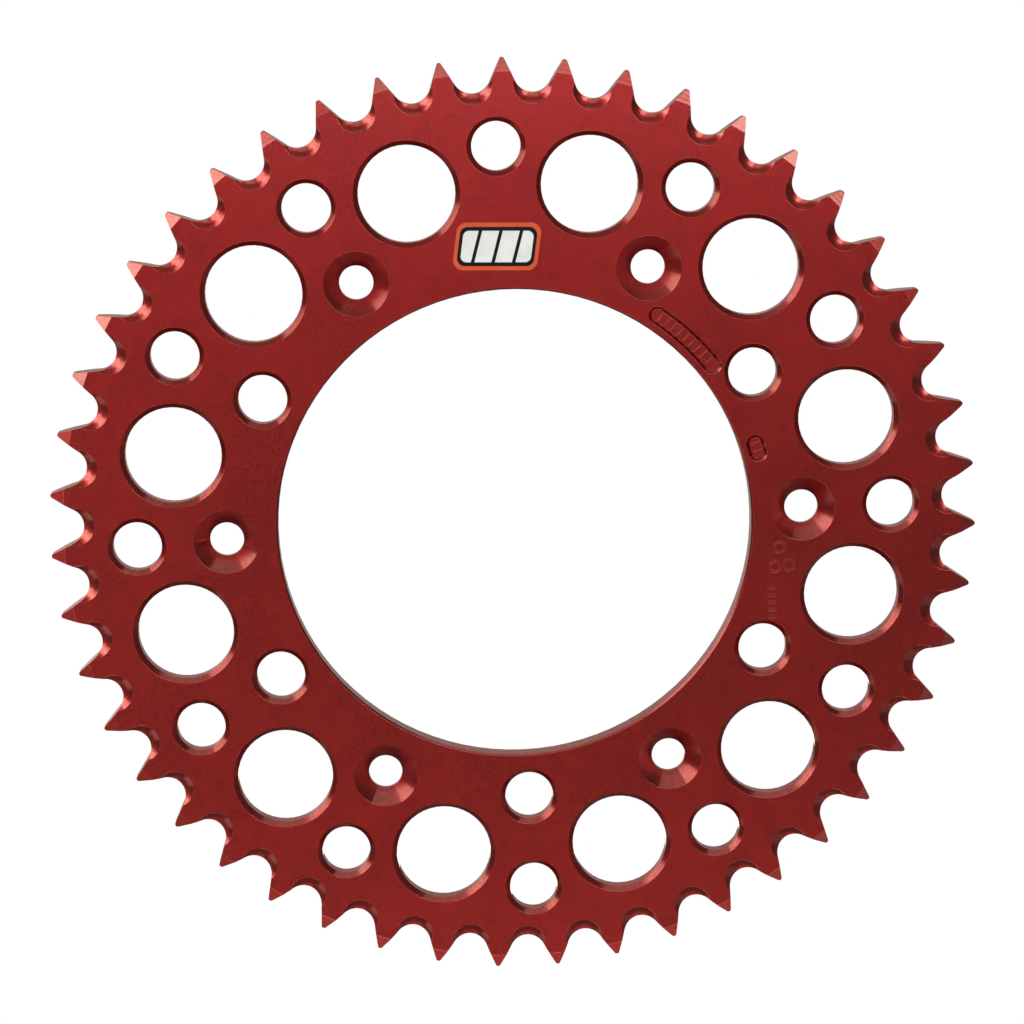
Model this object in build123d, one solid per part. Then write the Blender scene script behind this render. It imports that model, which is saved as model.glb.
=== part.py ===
from build123d import *
import math
import os

# Rear sprocket for a 520 motorcycle chain: one machined plate with a printed vinyl decal.
# Millimetres and degrees. The plate is drawn lying flat, with its outer face up, and is stood
# upright at the end: the bore axis runs along Y, the outer face looks to -Y, the hub face to +Y.
# The origin is the centre of the bore, halfway through the plate.

# chain and teeth
teeth = 47
chain_pitch = 15.875
roller_diameter = 10.16
seat_half_angle = 61.5  # half of the arc on which the roller sits
tip_radius = 122.7  # to the top of a tooth's rounded tip
first_gullet_angle = 0.67  # the gullet nearest to the first bolt hole
tip_bevel_width = 3.6  # along the radius, on both faces
tip_bevel_depth = 1.3

# mud scoops: a ball cutter dips into the face at each gullet
scoop_inset = 3.0  # scoop centre, inward of the roller centre
scoop_radius = 4.95  # where the scoop meets the face
scoop_depth = 1.6

# plate and hub interface
thickness = 5.8
bore_radius = 62.75
bore_chamfer = 0.45
bolt_count = 6
bolt_circle_radius = 76.5
bolt_hole_radius = 4.5  # M8 medium clearance
countersink_radius = 8.55  # 90 degree seat for a flat head M8 bolt
bolt_hole_back_chamfer = 0.3

# lightening holes
large_hole_count = 12
large_hole_circle_radius = 92.0
large_hole_radius = 12.7
large_hole_start = 15.0
small_hole_count = 12
small_hole_circle_radius = 100.0
small_hole_radius = 6.45
inner_hole_circle_radius = 74.5
inner_hole_angles = (30, 150, 210, 270, 330)  # the place at 90 is left whole for the decal
hole_chamfer = 1.25

# sunk pockets beside the bore, with plain raised index bars on their floors
pocket_circle_radius = 67.0
pocket_floor_width = 3.4
pocket_depth = 0.7
pocket_wall_taper = 45.0
long_pocket_start = 36.4
long_pocket_end = 53.3
long_pocket_bars = 9
short_pocket_start = 13.6
short_pocket_end = 15.7
short_pocket_bars = 2
bar_length = 2.7
bar_width = 0.9
bar_pitch_angle = 1.85

# shallow stamped inspection marks: three rings and a row of dashes
mark_depth = 0.15
ring_mark_radius = 1.8
ring_mark_width = 0.7
ring_mark_centres = ((69.7, -9.9), (68.3, -15.1), (72.1, -14.9))
dash_length = 2.4
dash_width = 0.8
dash_count = 5
dash_pitch = 2.0
dash_row_centre = (67.3, -24.9)

# decal: orange film, black print on the film, white bars printed on the black
decal_centre = (-1.1, 74.1)
decal_tilt = -3.0
film_length = 23.6
film_height = 12.4
film_thickness = 0.15
ink_thickness = 0.05
decal_lean = 14.0
decal_corner_radius = 2.6
orange_border = 1.1
black_border = 1.0
white_bar_count = 4
white_bar_gap = 0.9

# worked out from the above
half_thickness = thickness / 2
pitch_radius = chain_pitch / (2 * math.sin(math.pi / teeth))
root_radius = pitch_radius - roller_diameter / 2
seat_radius = 0.505 * roller_diameter
seat_centre_radius = root_radius + seat_radius
tooth_angle = 360 / teeth
overcut = 1.0  # how far a cutter stands clear of the face that it cuts


def beside_gullet(number, across, out):
    """A point `out` along gullet `number`'s centre line and `across` it, clockwise positive."""
    angle = math.radians(first_gullet_angle + number * tooth_angle)
    x = out * math.cos(angle) + across * math.sin(angle)
    y = out * math.sin(angle) - across * math.cos(angle)
    return (x, y)


def flank_ends():
    """Where a straight flank leaves the roller seat, and where the rounded tip begins."""
    angle = math.radians(seat_half_angle)
    start = Vector(seat_radius * math.sin(angle), seat_centre_radius - seat_radius * math.cos(angle))
    run = Vector(math.cos(angle), math.sin(angle))
    # extended, the two flanks of a tooth meet at its apex, on the line midway to the next gullet
    half_tooth = math.radians(tooth_angle / 2)
    midway = Vector(math.sin(half_tooth), math.cos(half_tooth))
    side = Vector(midway.Y, -midway.X)
    apex = start - run * (start.dot(side) / run.dot(side))
    half_point = math.pi / 2 - angle - half_tooth
    tip_round = (apex.length - tip_radius) / (1 / math.sin(half_point) - 1)
    return start, apex - run * (tip_round / math.tan(half_point))


def tooth_outline():
    """The closed edge of the toothed disc: seat, flank, tip and flank, gullet after gullet."""
    seat_end, tip_end = flank_ends()
    edges = []
    for number in range(teeth):
        right_seat = beside_gullet(number, seat_end.X, seat_end.Y)
        left_seat = beside_gullet(number, -seat_end.X, seat_end.Y)
        root = beside_gullet(number, 0, root_radius)
        right_tip = beside_gullet(number, tip_end.X, tip_end.Y)
        left_tip = beside_gullet(number, -tip_end.X, tip_end.Y)
        tooth_middle = beside_gullet(number + 0.5, 0, tip_radius)
        next_tip = beside_gullet(number + 1, tip_end.X, tip_end.Y)
        edges.append(Line(right_tip, right_seat))
        edges.append(ThreePointArc(right_seat, root, left_seat))
        edges.append(Line(left_seat, left_tip))
        edges.append(ThreePointArc(left_tip, tooth_middle, next_tip))
    return make_face(Wire(edges))


def turned(*points):
    """A solid of revolution about Z from half-section points (radius, height)."""
    section = make_face(Polyline(*points, close=True))
    return revolve(Plane.XZ * section, Axis.Z)


def turned_blank():
    """The disc as it leaves the lathe, with its rim bevelled towards both faces."""
    bevel_start = tip_radius - tip_bevel_width
    rim = half_thickness - tip_bevel_depth
    wide = tip_radius + overcut
    slope = tip_bevel_depth / tip_bevel_width
    wide_rim = rim - overcut * slope
    return turned(
        (0, -half_thickness),
        (bevel_start, -half_thickness),
        (wide, -wide_rim),
        (wide, wide_rim),
        (bevel_start, half_thickness),
        (0, half_thickness),
    )


def hole_cutter(radius, front_chamfer, back_chamfer):
    """A drill with a 45 degree chamfering cone at each face."""
    return turned(
        (0, -half_thickness - overcut),
        (radius + back_chamfer + overcut, -half_thickness - overcut),
        (radius, -half_thickness + back_chamfer),
        (radius, half_thickness - front_chamfer),
        (radius + front_chamfer + overcut, half_thickness + overcut),
        (0, half_thickness + overcut),
    )


def lightening_cutters():
    """The rings of large, outer small and inner small holes."""
    large = hole_cutter(large_hole_radius, hole_chamfer, hole_chamfer)
    small = hole_cutter(small_hole_radius, hole_chamfer, hole_chamfer)
    cutters = PolarLocations(large_hole_circle_radius, large_hole_count, large_hole_start) * large
    cutters += PolarLocations(small_hole_circle_radius, small_hole_count) * small
    for angle in inner_hole_angles:
        cutters += PolarLocations(inner_hole_circle_radius, 1, angle) * small
    return list(cutters)


def scoop_cutters():
    """Balls that dip into both faces at every gullet."""
    ball_radius = (scoop_radius**2 + scoop_depth**2) / (2 * scoop_depth)
    ball_height = half_thickness - scoop_depth + ball_radius
    ring_radius = pitch_radius - scoop_inset
    cutters = []
    for height in (ball_height, -ball_height):
        ball = Pos(0, 0, height) * Sphere(ball_radius)
        cutters += PolarLocations(ring_radius, teeth, first_gullet_angle) * ball
    return cutters


def pocket_cutter(start, end, bars):
    """An arc-shaped pocket that leaves a row of bars standing on its floor."""
    middle = (start + end) / 2
    slot = SlotArc(CenterArc((0, 0), pocket_circle_radius, start, end - start), pocket_floor_width)
    floor = Plane.XY.offset(half_thickness - pocket_depth)
    cutter = extrude(floor * slot, pocket_depth + overcut / 2, taper=-pocket_wall_taper)
    bar = Box(bar_length, bar_width, pocket_depth * 2)
    first_bar = middle - bar_pitch_angle * (bars - 1) / 2
    for number in range(bars):
        place = PolarLocations(pocket_circle_radius, 1, first_bar + number * bar_pitch_angle)
        cutter -= Pos(0, 0, half_thickness - pocket_depth) * (place * bar)[0]
    return cutter


def mark_cutters():
    """Three shallow rings and a straight row of shallow dashes."""
    floor = half_thickness - mark_depth
    ring = Circle(ring_mark_radius) - Circle(ring_mark_radius - ring_mark_width)
    cutters = []
    for centre in ring_mark_centres:
        cutters.append(extrude(Pos(*centre, floor) * ring, mark_depth + overcut))
    slot = Pos(*dash_row_centre, floor) * SlotOverall(dash_length, dash_width)
    dash = extrude(slot, mark_depth + overcut)
    for number in range(dash_count):
        cutters.append(Pos(0, dash_pitch * (number - (dash_count - 1) / 2)) * dash)
    return cutters


def sprocket_plate():
    """The whole machined plate."""
    toothed = extrude(tooth_outline(), half_thickness, both=True)
    plate = turned_blank() & toothed
    countersink = countersink_radius - bolt_hole_radius
    bolt_hole = hole_cutter(bolt_hole_radius, countersink, bolt_hole_back_chamfer)
    plate -= hole_cutter(bore_radius, bore_chamfer, bore_chamfer)
    plate -= list(PolarLocations(bolt_circle_radius, bolt_count) * bolt_hole)
    plate -= lightening_cutters()
    plate -= scoop_cutters()
    plate -= pocket_cutter(long_pocket_start, long_pocket_end, long_pocket_bars)
    plate -= pocket_cutter(short_pocket_start, short_pocket_end, short_pocket_bars)
    plate -= mark_cutters()
    return plate


def badge(inset):
    """The decal's leaning, round-cornered outline, moved in from the film's edge."""
    length = film_length - 2 * inset
    height = film_height - 2 * inset
    lean = height / 2 * math.tan(math.radians(decal_lean))
    corners = (
        (-length / 2 + lean, height / 2),
        (length / 2, height / 2),
        (length / 2 - lean, -height / 2),
        (-length / 2, -height / 2),
    )
    outline = make_face(Polyline(*corners, close=True))
    return fillet(outline.vertices(), decal_corner_radius - inset / 2)


def white_bars():
    """Plain leaning bars inside the black print."""
    field = badge(orange_border + black_border)
    pitch = (film_length - 2 * orange_border) / white_bar_count
    gap = Rectangle(white_bar_gap, film_height * 2)
    for number in range(1, white_bar_count):
        place = -pitch * white_bar_count / 2 + number * pitch
        field -= Pos(place, 0) * Rot(0, 0, -decal_lean) * gap
    return field


def on_face(sketch, height, depth):
    """A thin layer of the decal, `height` above the plate's outer face."""
    place = Pos(*decal_centre, half_thickness + height) * Rot(0, 0, decal_tilt)
    return extrude(place * sketch, depth)


def stand_up(shape):
    """Turn the flat drawing upright, with its outer face to -Y."""
    return shape.rotate(Axis.X, 90)


parts = {
    "sprocket_plate": sprocket_plate(),
    "decal_film": on_face(badge(0), 0, film_thickness),
    "decal_black_print": on_face(badge(orange_border), film_thickness, ink_thickness),
    "decal_white_print": on_face(white_bars(), film_thickness + ink_thickness, ink_thickness),
}

os.makedirs("parts", exist_ok=True)
for name, shape in parts.items():
    export_step(stand_up(shape), f"parts/{name}.step")
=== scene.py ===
import math

import bmesh
import bpy
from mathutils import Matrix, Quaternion, Vector


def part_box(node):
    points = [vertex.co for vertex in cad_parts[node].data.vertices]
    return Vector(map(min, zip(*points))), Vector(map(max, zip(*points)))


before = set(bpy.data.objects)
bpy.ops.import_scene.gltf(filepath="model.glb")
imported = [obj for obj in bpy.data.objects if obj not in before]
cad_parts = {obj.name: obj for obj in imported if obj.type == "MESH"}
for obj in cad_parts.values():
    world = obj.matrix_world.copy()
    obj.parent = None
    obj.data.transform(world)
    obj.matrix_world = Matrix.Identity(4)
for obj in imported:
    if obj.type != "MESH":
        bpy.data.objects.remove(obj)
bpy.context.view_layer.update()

# metres and degrees; the bore axis is Y and the outer face looks to -Y
MM = 0.001
BEVEL_WIDTH = 3.6 * MM  # of the teeth's turned bevel, along the radius
MARK_DEPTH = 0.15 * MM  # of the stamped marks, under the outer face
POCKET_DEPTH = 0.7 * MM
plate_low, plate_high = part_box("sprocket_plate")
front_face_y = plate_low.y
bevel_start = plate_high.x - BEVEL_WIDTH

# camera: a long lens, a little above the bore axis and to its left, slightly rolled
CAMERA_AZIMUTH = -1.82
CAMERA_ELEVATION = 10.92
CAMERA_ROLL = -2.94
CAMERA_DISTANCE = 0.8021
CAMERA_TARGET = Vector((-0.76 * MM, front_face_y, 3.66 * MM))
CAMERA_LENS = 106.63
SENSOR_WIDTH = 36.0

# studio
LIGHT_DISTANCE = 1.2
FLOOR_GAP = 0.5 * MM
STAGE_RADIUS = 8.0
WARM = (1.0, 0.97, 0.78)
AMBIENT = 0.16

# the plate's reds, roughly from darkest to lightest: the pocket and cone reds are painted shade, the
# edge red is partly wear and partly a painted highlight, and the others are dyed tones
POCKET_SHADE_RED = (0.145, 0.008, 0.007)
CONE_SHADE_RED = (0.20, 0.0065, 0.0055)
DEEP_RED = (0.226, 0.0072, 0.0086)
LIGHT_RED = (0.300, 0.0086, 0.0104)
GRAIN_RED = (0.34, 0.0094, 0.0112)
BEVEL_RED = (0.35, 0.015, 0.013)
EDGE_WEAR_AND_SHEEN_RED = (0.34, 0.028, 0.022)
MARK_RED = (0.38, 0.035, 0.030)

# how high the metal's relief stands, and how far its edges are rounded
GRAIN_HEIGHT = 0.018 * MM
FINE_GRAIN_HEIGHT = 0.002 * MM
RING_HEIGHT = 0.004 * MM
LAY_HEIGHT = 0.02 * MM
EDGE_ROUNDING = 0.11 * MM

# the decal's film and prints, each with the colour that it wears to
ORANGE = (0.50, 0.055, 0.012)
WORN_ORANGE = (0.62, 0.16, 0.08)
BLACK = (0.003, 0.003, 0.004)
WORN_BLACK = (0.03, 0.028, 0.03)
WHITE = (0.60, 0.63, 0.72)
WORN_WHITE = (0.44, 0.44, 0.45)
SMUDGED = 0.82  # how much of a colour is left under a smudge


def direction(azimuth, elevation):
    """Unit vector from the object towards that azimuth and elevation; azimuth 0 is -Y."""
    a = math.radians(azimuth)
    e = math.radians(elevation)
    return Vector((math.sin(a) * math.cos(e), -math.cos(a) * math.cos(e), math.sin(e)))


def make_camera():
    data = bpy.data.cameras.new("camera")
    data.sensor_width = SENSOR_WIDTH
    data.lens = CAMERA_LENS
    data.clip_start = 0.01
    data.clip_end = 50.0
    camera = bpy.data.objects.new("camera", data)
    bpy.context.scene.collection.objects.link(camera)
    back = direction(CAMERA_AZIMUTH, CAMERA_ELEVATION)
    camera.location = CAMERA_TARGET + back * CAMERA_DISTANCE
    camera.rotation_mode = "QUATERNION"
    roll = Quaternion((0, 0, 1), math.radians(CAMERA_ROLL))
    camera.rotation_quaternion = (-back).to_track_quat("-Z", "Y") @ roll
    bpy.context.scene.camera = camera


def softbox(name, azimuth, elevation, width, height, radiance, tint=(1, 1, 1)):
    """A rectangular lamp that faces the object and that the camera doesn't see."""
    data = bpy.data.lights.new(name, "AREA")
    data.shape = "RECTANGLE"
    data.size = width
    data.size_y = height
    data.energy = math.pi * width * height * radiance
    data.color = tint
    light = bpy.data.objects.new(name, data)
    bpy.context.scene.collection.objects.link(light)
    away = direction(azimuth, elevation)
    light.location = away * LIGHT_DISTANCE
    light.rotation_mode = "QUATERNION"
    light.rotation_quaternion = away.to_track_quat("Z", "Y")
    light.visible_camera = False


def make_lights():
    # name, azimuth, elevation, width, height, radiance and tint
    softbox("key", -38, 19, 0.62, 0.62, 3.9, WARM)
    softbox("left", -75, 32, 0.95, 0.8, 2.9, WARM)
    softbox("left_low", -32, -12, 0.32, 0.32, 4.6, WARM)
    softbox("second", 27, 22, 0.6, 0.55, 4.5, WARM)
    softbox("centre", 0, 15, 0.7, 0.25, 5.0)
    softbox("low_front", 2, -44, 0.9, 0.32, 5.8, WARM)
    softbox("low_left", -85, -38, 1.0, 0.6, 0.7, WARM)
    softbox("low_right", 75, -38, 1.2, 0.6, 0.2)
    softbox("high_front", 0, 37, 0.6, 0.28, 1.4, WARM)
    softbox("top", 0, 70, 1.6, 0.4, 1.0, WARM)
    softbox("back_high", 180, 50, 0.8, 0.8, 2.2, WARM)
    softbox("back_left", -140, 10, 0.8, 0.8, 1.2, WARM)
    softbox("back", 180, 5, 1.6, 0.8, 0.3)
    softbox("back_low", 166, -33, 0.9, 0.6, 4.6, WARM)


def make_world():
    world = bpy.data.worlds.new("studio")
    world.use_nodes = True
    background = world.node_tree.nodes["Background"]
    background.inputs["Color"].default_value = (*WARM, 1)
    background.inputs["Strength"].default_value = AMBIENT
    bpy.context.scene.world = world


def studio_white():
    """A plain white that glows, so that it looks the same from everywhere."""
    material = bpy.data.materials.new("studio_white")
    material.use_nodes = True
    nodes = material.node_tree.nodes
    nodes.clear()
    glow = nodes.new("ShaderNodeEmission")
    glow.inputs["Strength"].default_value = 1.0
    output = nodes.new("ShaderNodeOutputMaterial")
    material.node_tree.links.new(glow.outputs["Emission"], output.inputs["Surface"])
    return material


def stage_piece(name, mesh, material):
    """Part of the white studio: the camera sees it, but it neither lights nor shades the object."""
    piece = bpy.data.objects.new(name, mesh)
    bpy.context.scene.collection.objects.link(piece)
    mesh.materials.append(material)
    piece.visible_diffuse = False
    piece.visible_glossy = False
    piece.visible_transmission = False
    piece.visible_shadow = False


def make_stage():
    """A plain white floor under the object, inside a plain white dome."""
    white = studio_white()

    floor = bpy.data.meshes.new("studio_floor")
    r = STAGE_RADIUS
    z = plate_low.z - FLOOR_GAP
    floor.from_pydata([(-r, -r, z), (r, -r, z), (r, r, z), (-r, r, z)], [], [(0, 1, 2, 3)])
    stage_piece("studio_floor", floor, white)

    dome = bpy.data.meshes.new("studio_dome")
    shape = bmesh.new()
    bmesh.ops.create_uvsphere(shape, u_segments=48, v_segments=24, radius=STAGE_RADIUS)
    shape.to_mesh(dome)
    shape.free()
    stage_piece("studio_dome", dome, white)


class Surface:
    """One material's node tree, with short calls for the nodes that it is made of."""

    def __init__(self, name):
        self.material = bpy.data.materials.new(name)
        self.material.use_nodes = True
        self.tree = self.material.node_tree
        self.shader = self.tree.nodes["Principled BSDF"]
        self.coordinates = self.node("TexCoord")
        self.place = self.coordinates.outputs["Object"]

    def node(self, kind, inputs=None, **settings):
        made = self.tree.nodes.new("ShaderNode" + kind)
        for name, value in settings.items():
            setattr(made, name, value)
        for socket, value in (inputs or {}).items():
            self.feed(made.inputs[socket], value)
        return made

    def feed(self, socket, value):
        if isinstance(value, bpy.types.NodeSocket):
            self.tree.links.new(value, socket)
        else:
            socket.default_value = value

    def set(self, **values):
        """Sets the shader's own sockets; an underscore in a name stands for a space."""
        for name, value in values.items():
            self.feed(self.shader.inputs[name.replace("_", " ")], value)

    def math(self, operation, first, second=0.0):
        return self.node("Math", {0: first, 1: second}, operation=operation).outputs[0]

    def add(self, first, second):
        return self.math("ADD", first, second)

    def minus(self, first, second):
        return self.math("SUBTRACT", first, second)

    def times(self, first, second):
        return self.math("MULTIPLY", first, second)

    def vector_math(self, operation, output, *vectors):
        inputs = dict(enumerate(vectors))
        return self.node("VectorMath", inputs, operation=operation).outputs[output]

    def along_y(self, vector):
        return self.node("SeparateXYZ", {"Vector": vector}).outputs["Y"]

    def fade(self, value, start, end, low=0.0, high=1.0):
        """Goes smoothly from low to high as the value goes from start to end."""
        inputs = {"Value": value, "From Min": start, "From Max": end, "To Min": low, "To Max": high}
        return self.node("MapRange", inputs, interpolation_type="SMOOTHSTEP").outputs["Result"]

    def between(self, value, low, high, soft):
        """1 where the value lies between low and high, and 0 outside, with soft ends."""
        above_low = self.fade(value, low - soft, low)
        below_high = self.fade(value, high, high + soft, 1.0, 0.0)
        return self.times(above_low, below_high)

    def noise(self, size, detail=2.0, roughness=0.5, stretch=(1, 1, 1), offset=0.0):
        """Soft random blotches of that size in metres, around 0.5."""
        place = self.place
        if stretch != (1, 1, 1) or offset:
            shrink = tuple(1 / s for s in stretch)
            mapping = {"Vector": place, "Scale": shrink, "Location": (offset, offset, offset)}
            place = self.node("Mapping", mapping).outputs["Vector"]
        inputs = {"Vector": place, "Scale": 1 / size, "Detail": detail, "Roughness": roughness}
        return self.node("TexNoise", inputs).outputs["Fac"]

    def mix(self, amount, colour, other):
        """Goes from colour to other as the amount goes from 0 to 1."""
        # a Mix node of colours takes them in sockets 6 and 7 and gives its result in socket 2
        inputs = {0: amount, 6: self.opaque(colour), 7: self.opaque(other)}
        return self.node("Mix", inputs, data_type="RGBA").outputs[2]

    def opaque(self, colour):
        return (*colour, 1.0) if isinstance(colour, tuple) else colour

    def bump(self, height, depth, normal=None):
        """Tilts the normal as if the surface rose by height times depth."""
        inputs = {"Height": height, "Distance": depth, "Strength": 1.0}
        if normal is not None:
            inputs["Normal"] = normal
        return self.node("Bump", inputs).outputs["Normal"]


class Plate:
    """The plate's features: each value is 1 on that feature and 0 off it, with soft ends."""

    def __init__(self, s):
        # 1 on the two faces, and 0 on the walls of the holes and the sides of the teeth
        squareness = s.math("ABSOLUTE", s.along_y(s.coordinates.outputs["Normal"]))
        self.flat = s.fade(squareness, 0.985, 0.999)
        self.machined = s.minus(1.0, self.flat)
        self.wall = s.fade(squareness, 0.35, 0.1)
        # countersinks, chamfers and the pockets' walls all lean by 45 degrees
        self.cone = s.between(squareness, 0.68, 0.73, 0.03)

        across = s.vector_math("MULTIPLY", "Vector", s.place, (1, 0, 1))
        from_axis = s.vector_math("LENGTH", "Value", across)
        near_tips = s.fade(from_axis, bevel_start - 0.2 * MM, bevel_start)
        shallow = s.fade(squareness, 0.85, 0.93)
        self.bevel = s.times(s.times(near_tips, shallow), self.machined)

        depth = s.minus(s.along_y(s.place), front_face_y)
        at_marks = s.between(depth, 0.5 * MARK_DEPTH, 1.5 * MARK_DEPTH, 0.04 * MM)
        at_pockets = s.between(depth, 0.8 * POCKET_DEPTH, 1.2 * POCKET_DEPTH, 0.05 * MM)
        self.mark_floor = s.times(self.flat, at_marks)
        self.pocket_floor = s.times(self.flat, at_pockets)

        # on an edge the rounded normal leaves the true one
        self.rounded_normal = s.node("Bevel", {"Radius": EDGE_ROUNDING}, samples=4).outputs["Normal"]
        true_normal = s.node("NewGeometry").outputs["True Normal"]
        agreement = s.vector_math("DOT_PRODUCT", "Value", self.rounded_normal, true_normal)
        self.edge = s.fade(agreement, 0.995, 0.9)


def dye_and_painted_light(s, plate, grain, mottle, blotches):
    """The colour: uneven dyeing, with painted shade on the pockets' floors, the chamfers and the
    countersinks, and lighter edges that are partly worn and partly a painted highlight.
    """
    # lighter on the edges: partly worn, partly a painted highlight
    worn_and_sheen = s.times(plate.edge, s.fade(mottle, 0.4, 0.62, 0.0, 0.3))
    colour = s.mix(s.fade(blotches, 0.36, 0.64), DEEP_RED, LIGHT_RED)
    colour = s.mix(s.fade(grain, 0.3, 0.7, 0.0, 0.8), colour, GRAIN_RED)
    # painted shade: the chamfers, countersinks and pockets' walls are darker
    colour = s.mix(s.times(plate.cone, 0.35), colour, CONE_SHADE_RED)
    colour = s.mix(s.times(plate.bevel, 0.6), colour, BEVEL_RED)
    colour = s.mix(s.times(plate.mark_floor, 0.45), colour, MARK_RED)
    # painted shade: the pockets' floors are darker
    colour = s.mix(s.times(plate.pocket_floor, 0.45), colour, POCKET_SHADE_RED)
    return s.mix(worn_and_sheen, colour, EDGE_WEAR_AND_SHEEN_RED)


def metal_roughness(s, plate, grain, blotches):
    """Least on chamfers, scoops and walls, and most on the turned bevel and in the pockets."""
    roughness = s.fade(blotches, 0.3, 0.7, 0.34, 0.36)
    roughness = s.add(roughness, s.times(plate.machined, -0.03))
    roughness = s.add(roughness, s.times(plate.bevel, 0.1))
    roughness = s.add(roughness, s.times(s.minus(grain, 0.5), 0.12))
    return s.add(roughness, s.times(plate.pocket_floor, 0.12))


def clear_layer(s, plate, grain):
    """How much of it there is: most on the turned bevel, and least on the walls of the holes."""
    gloss = s.add(s.fade(grain, 0.3, 0.7, 0.5, 0.9), s.times(plate.bevel, 0.3))
    gloss = s.add(gloss, s.times(plate.cone, -0.1))
    return s.add(gloss, s.times(plate.wall, -0.3))


def metal_relief(s, plate, grain):
    """The normal: blasted grain on the faces, and fainter grain with the cutters' marks elsewhere."""
    blasted = s.fade(plate.machined, 0.0, 1.0, 1.0, 0.35)
    fine_grain = s.noise(0.12 * MM, 2.0, 0.5)
    lay = s.noise(0.5 * MM, 2.0, 0.5, stretch=(1, 12, 1))
    # at scale 1 a wave's bands lie pi / 10 apart, so these lie 0.41 mm apart
    bands = {"Vector": s.place, "Scale": 1 / (1.3 * MM)}
    bands |= {"Distortion": 1.2, "Detail": 2.0, "Detail Scale": 2.0}
    rings = s.node("TexWave", bands, wave_type="BANDS", bands_direction="Y").outputs["Fac"]

    normal = s.bump(s.times(grain, blasted), GRAIN_HEIGHT, plate.rounded_normal)
    normal = s.bump(s.times(fine_grain, blasted), FINE_GRAIN_HEIGHT, normal)
    normal = s.bump(s.times(rings, plate.machined), RING_HEIGHT, normal)
    return s.bump(s.times(lay, plate.wall), LAY_HEIGHT, normal)


def anodised_red():
    """Red anodised aluminium: a matt, faintly mottled metal under a clear, glossier oxide layer."""
    s = Surface("anodised_red")
    plate = Plate(s)
    grain = s.noise(0.7 * MM, 4.0, 0.65)
    mottle = s.noise(4.0 * MM, 4.0, 0.65, offset=0.3)
    cloud = s.noise(28.0 * MM, 2.0, 0.5, offset=0.7)
    blotches = s.add(s.times(mottle, 0.5), s.times(cloud, 0.5))

    colour = dye_and_painted_light(s, plate, grain, mottle, blotches)
    roughness = metal_roughness(s, plate, grain, blotches)
    gloss = clear_layer(s, plate, grain)
    normal = metal_relief(s, plate, grain)
    s.set(Base_Color=colour, Metallic=1.0, Roughness=roughness, Normal=normal)
    s.set(Coat_Weight=gloss, Coat_Roughness=0.17, Coat_IOR=1.8, Coat_Normal=normal)
    return s.material


def vinyl(name, colour, worn_colour, roughness, specular):
    """Printed vinyl: a soft orange-peel skin with fine specks, faint smudges and scuffs."""
    s = Surface(name)
    peel = s.noise(0.9 * MM, 2.0, 0.5)
    specks = s.noise(0.22 * MM, 2.0, 0.6)
    smudge = s.noise(5.0 * MM, 3.0, 0.6, offset=0.4)
    scuffs = s.noise(0.5 * MM, 3.0, 0.6, stretch=(9, 1, 1), offset=0.2)
    smudged_colour = tuple(SMUDGED * c for c in colour)
    shade = s.mix(s.fade(smudge, 0.35, 0.65, 0.0, 0.5), colour, smudged_colour)
    shade = s.mix(s.fade(scuffs, 0.62, 0.72, 0.0, 0.35), shade, worn_colour)
    shade = s.mix(s.fade(specks, 0.68, 0.76, 0.0, 0.5), shade, worn_colour)
    dullness = s.fade(smudge, 0.3, 0.7, roughness, roughness + 0.14)
    dullness = s.add(dullness, s.fade(scuffs, 0.6, 0.75, 0.0, 0.15))
    normal = s.bump(peel, 0.03 * MM)
    normal = s.bump(specks, 0.006 * MM, normal)
    s.set(Base_Color=shade, Roughness=dullness, Normal=normal, Specular_IOR_Level=specular)
    return s.material


def dress(node, material):
    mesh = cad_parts[node].data
    mesh.materials.clear()
    mesh.materials.append(material)


make_camera()
make_stage()
make_world()
make_lights()
dress("sprocket_plate", anodised_red())
dress("decal_film", vinyl("orange_vinyl", ORANGE, WORN_ORANGE, roughness=0.32, specular=0.4))
dress("decal_black_print", vinyl("black_print", BLACK, WORN_BLACK, roughness=0.42, specular=0.12))
dress("decal_white_print", vinyl("white_print", WHITE, WORN_WHITE, roughness=0.34, specular=0.4))

bpy.context.scene.view_settings.view_transform = "Standard"
